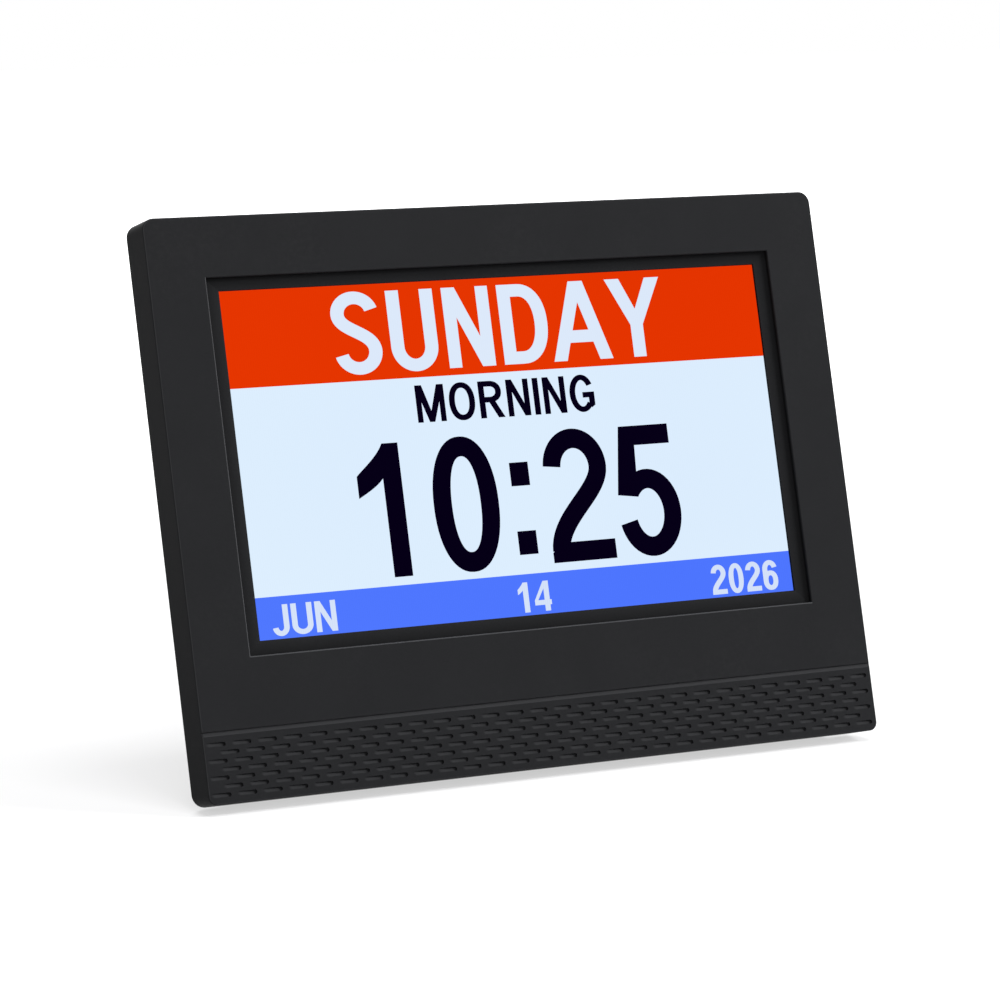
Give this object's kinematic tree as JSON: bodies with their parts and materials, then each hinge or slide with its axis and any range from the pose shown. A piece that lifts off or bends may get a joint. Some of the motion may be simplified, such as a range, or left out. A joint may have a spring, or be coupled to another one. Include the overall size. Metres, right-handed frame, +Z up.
{
  "type": "day clock",
  "caption": "Easel-backed desk clock that shows the weekday, part of the day, time and date in large print on a wide colour display.",
  "frame": {"origin": "on the table, at the middle of the whole footprint with the leg open", "axes": "+Z up from the table, -Y the way the face looks, +X to the right along the face"},
  "size_m": [0.1924, 0.06, 0.1411],
  "materials": {
    "case_plastic": "fine grained matte black",
    "cover_plastic": "fine grained matte black",
    "leg_plastic": "matte black",
    "key_plastic": "satin black",
    "foot_rubber": "soft matte black",
    "foam": "black foam",
    "display": "lit colour display under an anti-glare polariser",
    "steel": "plain pressed steel",
    "screw_steel": "black oxide",
    "white_sheet": "white film",
    "clear_plastic": "clear acrylic",
    "led_strip": "white strip with LEDs",
    "circuit_board": "green solder mask",
    "chip_plastic": "moulded black",
    "switch_plastic": "black",
    "connector_plastic": "ivory",
    "ferrite": "dark sintered",
    "capacitor_can": "aluminium can",
    "cell_steel": "nickel plated",
    "pin_brass": "nickel plated brass",
    "flat_cable": "white ribbon",
    "speaker_paper": "black paper",
    "wire_jacket": "red and black PVC"
  },
  "bodies": {
    "case": {"front_bezel": "case_plastic", "rear_cover": "cover_plastic", "foot_pads": "foot_rubber", "window_gasket": "foam", "lcd_glass": "display", "backlight_tray": "steel", "diffuser_sheet": "white_sheet", "light_guide": "clear_plastic", "reflector_sheet": "white_sheet", "led_bar": "led_strip", "lcd_brackets": "steel", "bracket_screws": "screw_steel", "cover_screws": "screw_steel", "hinge_pins": "steel", "friction_washers": "steel", "tact_switches": "switch_plastic", "key_board": "circuit_board", "key_board_screws": "screw_steel", "main_board": "circuit_board", "board_screws": "screw_steel", "processor_chip": "chip_plastic", "memory_chip": "chip_plastic", "power_chips": "chip_plastic", "inductor": "ferrite", "capacitors": "capacitor_can", "crystal": "steel", "coin_cell_holder": "switch_plastic", "coin_cell": "cell_steel", "dc_jack": "switch_plastic", "dc_jack_pin": "pin_brass", "lcd_connector": "connector_plastic", "lcd_flat_cable": "flat_cable", "wire_headers": "connector_plastic", "key_cable": "flat_cable", "speaker_foam": "foam", "speaker_frame": "steel", "speaker_cone": "speaker_paper", "speaker_magnet": "ferrite", "speaker_screws": "screw_steel", "speaker_wires": "wire_jacket"},
    "leg": {"stand_leg": "leg_plastic", "stand_foot": "foot_rubber"},
    "power_key": {"power_button": "key_plastic", "power_plunger": "switch_plastic"},
    "menu_key": {"menu_button": "key_plastic", "menu_plunger": "switch_plastic"},
    "up_key": {"up_button": "key_plastic", "up_plunger": "switch_plastic"},
    "down_key": {"down_button": "key_plastic", "down_plunger": "switch_plastic"},
    "enter_key": {"enter_button": "key_plastic", "enter_plunger": "switch_plastic"},
    "back_key": {"back_button": "key_plastic", "back_plunger": "switch_plastic"}
  },
  "joints": [
    {"name": "leg_fold", "type": "hinge", "parent": "case", "child": "leg", "pos_m": [0, 0.00935, 0.06914], "axis": [-1, 0, 0], "range_deg": [0, 30]},
    {"name": "power_press", "type": "slide", "parent": "case", "child": "power_key", "axis": [0, -0.9686, 0.2487], "range_m": [0, 0.0005], "stiffness_N_per_m": 1500, "springref_m": -0.0003},
    {"name": "menu_press", "type": "slide", "parent": "case", "child": "menu_key", "axis": [0, -0.9686, 0.2487], "range_m": [0, 0.0005], "stiffness_N_per_m": 1500, "springref_m": -0.0003},
    {"name": "up_press", "type": "slide", "parent": "case", "child": "up_key", "axis": [0, -0.9686, 0.2487], "range_m": [0, 0.0005], "stiffness_N_per_m": 1500, "springref_m": -0.0003},
    {"name": "down_press", "type": "slide", "parent": "case", "child": "down_key", "axis": [0, -0.9686, 0.2487], "range_m": [0, 0.0005], "stiffness_N_per_m": 1500, "springref_m": -0.0003},
    {"name": "enter_press", "type": "slide", "parent": "case", "child": "enter_key", "axis": [0, -0.9686, 0.2487], "range_m": [0, 0.0005], "stiffness_N_per_m": 1500, "springref_m": -0.0003},
    {"name": "back_press", "type": "slide", "parent": "case", "child": "back_key", "axis": [0, -0.9686, 0.2487], "range_m": [0, 0.0005], "stiffness_N_per_m": 1500, "springref_m": -0.0003}
  ]
}
